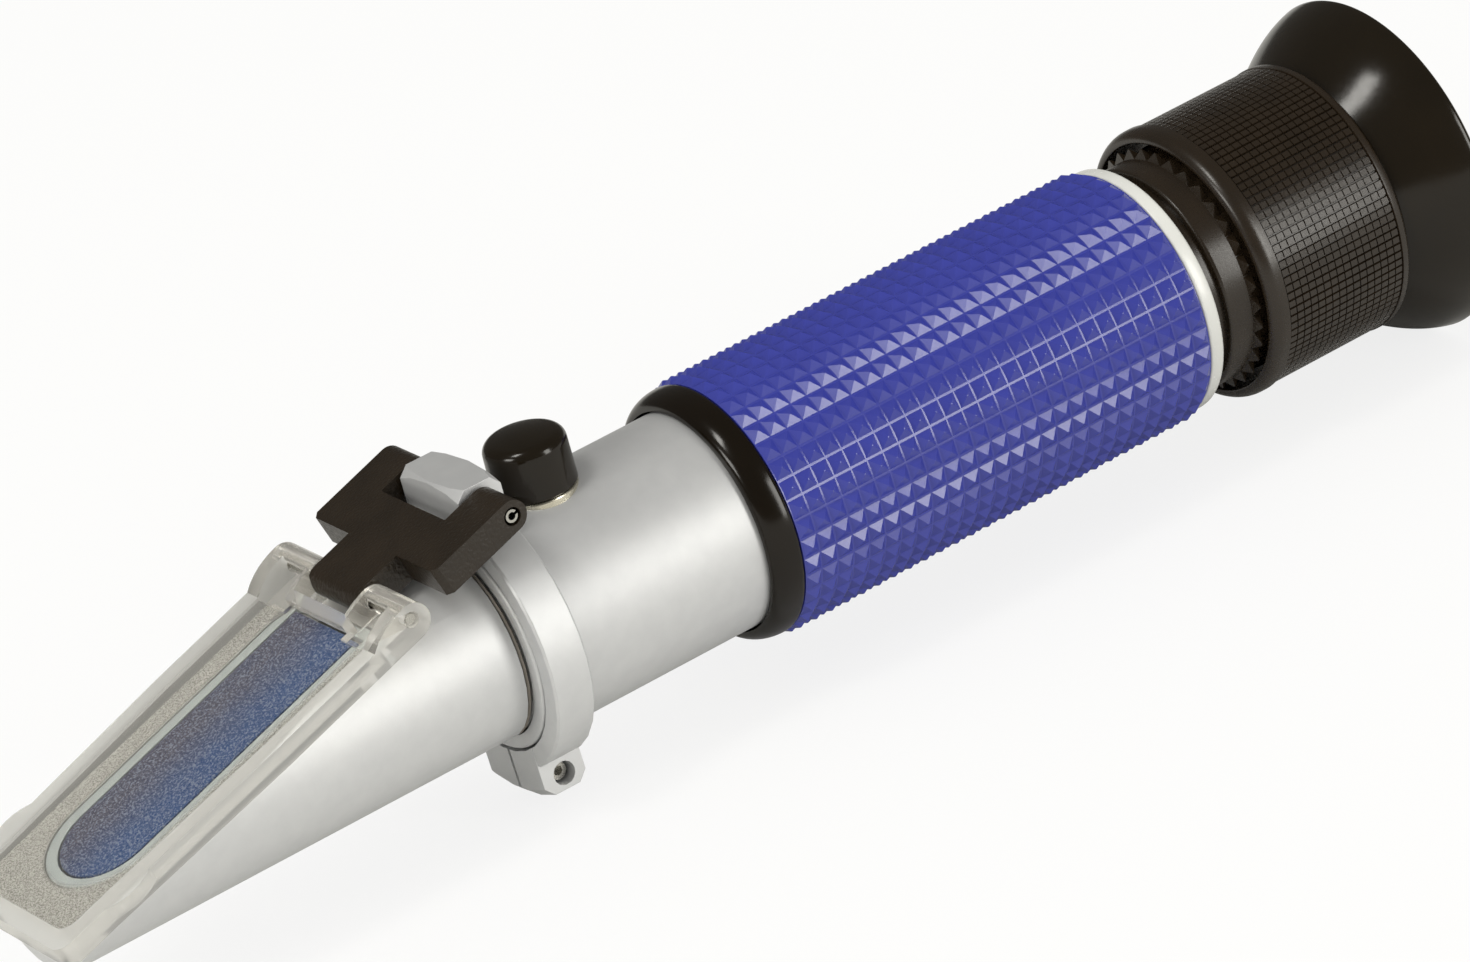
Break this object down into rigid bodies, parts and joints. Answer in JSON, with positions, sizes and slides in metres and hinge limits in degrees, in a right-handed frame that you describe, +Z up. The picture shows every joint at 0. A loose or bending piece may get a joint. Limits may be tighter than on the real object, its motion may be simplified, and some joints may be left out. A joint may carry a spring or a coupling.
{
  "type": "hand refractometer",
  "caption": "Hand-held optical refractometer with slanted prism, hinged clear daylight plate, clamp ring, ribbed grip, calibration cap and focusing eyepiece with flared eyecup.",
  "frame": {"origin": "under the middle of the instrument's length, at the height of the eyecup's lowest point", "axes": "+X along the optical axis, from the prism to the eyecup; +Z up, the side of the daylight plate and the cap; +Y to the left of a person who looks from the prism end towards the eyecup"},
  "size_m": [0.1896, 0.0406, 0.0406],
  "materials": {
    "satin_aluminium": "fine satin",
    "prism_glass": "ground, blue-grey",
    "seal_bead": "matte pale grey",
    "seal_rubber": "matte",
    "clear_plate": "clear with a frosted pad",
    "pin_steel": "bright",
    "black_casting": "matte",
    "fitting_brass": "turned",
    "cap_rubber": "glossy",
    "lens_glass": "polished",
    "collar_plastic": "glossy",
    "blue_rubber": "semi-gloss",
    "pale_plastic": "satin",
    "black_plastic": "satin"
  },
  "bodies": {
    "instrument": {"prism_head": "satin_aluminium", "main_prism": "prism_glass", "prism_seal": "seal_bead", "head_seal": "seal_rubber", "clamp_ring": "satin_aluminium", "clamp_screw": "fitting_brass", "body_tube": "satin_aluminium", "calibration_bush": "fitting_brass", "carriage_spring": "pin_steel", "scale_disc": "lens_glass", "scale_ring": "black_plastic", "front_collar": "collar_plastic", "grip_sleeve": "blue_rubber", "rear_collar": "pale_plastic", "eyepiece_tube": "black_plastic"},
    "hinge_block": {"hinge_block": "black_casting", "hinge_pin": "pin_steel"},
    "daylight_plate": {"daylight_plate": "clear_plate", "plate_pin": "pin_steel"},
    "calibration_cap": {"calibration_cap": "cap_rubber"},
    "lens_carriage": {"lens_carriage": "fitting_brass", "objective_lens": "lens_glass", "thermal_strip": "fitting_brass"},
    "calibration_screw": {"calibration_screw": "pin_steel"},
    "focus_sleeve": {"focus_sleeve": "black_plastic", "field_lens": "lens_glass", "lens_spacer": "black_plastic", "eye_lens": "lens_glass", "lens_ring": "black_plastic"},
    "focus_ring": {"focus_ring": "black_plastic", "eyecup": "cap_rubber"}
  },
  "joints": [
    {"name": "hinge_swing", "type": "hinge", "parent": "instrument", "child": "hinge_block", "pos_m": [-0.03067, 0, 0.03774], "axis": [0, 1, 0], "range_deg": [0, 110]},
    {"name": "plate_tilt", "type": "hinge", "parent": "hinge_block", "child": "daylight_plate", "pos_m": [-0.04576, 0, 0.03282], "axis": [0, 1, 0], "range_deg": [0, 25]},
    {"name": "cap_pull", "type": "slide", "parent": "instrument", "child": "calibration_cap", "axis": [0, 0, 1], "range_m": [0, 0.012]},
    {"name": "lens_shift", "type": "slide", "parent": "instrument", "child": "lens_carriage", "axis": [0, 0, 1], "range_m": [-0.00025, 0.00025]},
    {"name": "screw_turn", "type": "hinge", "parent": "lens_carriage", "child": "calibration_screw", "pos_m": [-0.02077, 0, 0.0333], "axis": [0, 0, 1], "range_deg": [-180, 180]},
    {"name": "focus_shift", "type": "slide", "parent": "instrument", "child": "focus_sleeve", "axis": [1, 0, 0], "range_m": [-0.00125, 0.00125]},
    {"name": "focus_turn", "type": "hinge", "parent": "focus_sleeve", "child": "focus_ring", "pos_m": [0.07523, 0, 0.0203], "axis": [1, 0, 0], "range_deg": [-150, 150]}
  ],
  "couplings": [
    {"joint": "screw_turn", "follows": "lens_shift", "rad_per_m": 12566},
    {"joint": "focus_shift", "follows": "focus_turn", "m_per_rad": 0.00047746}
  ]
}
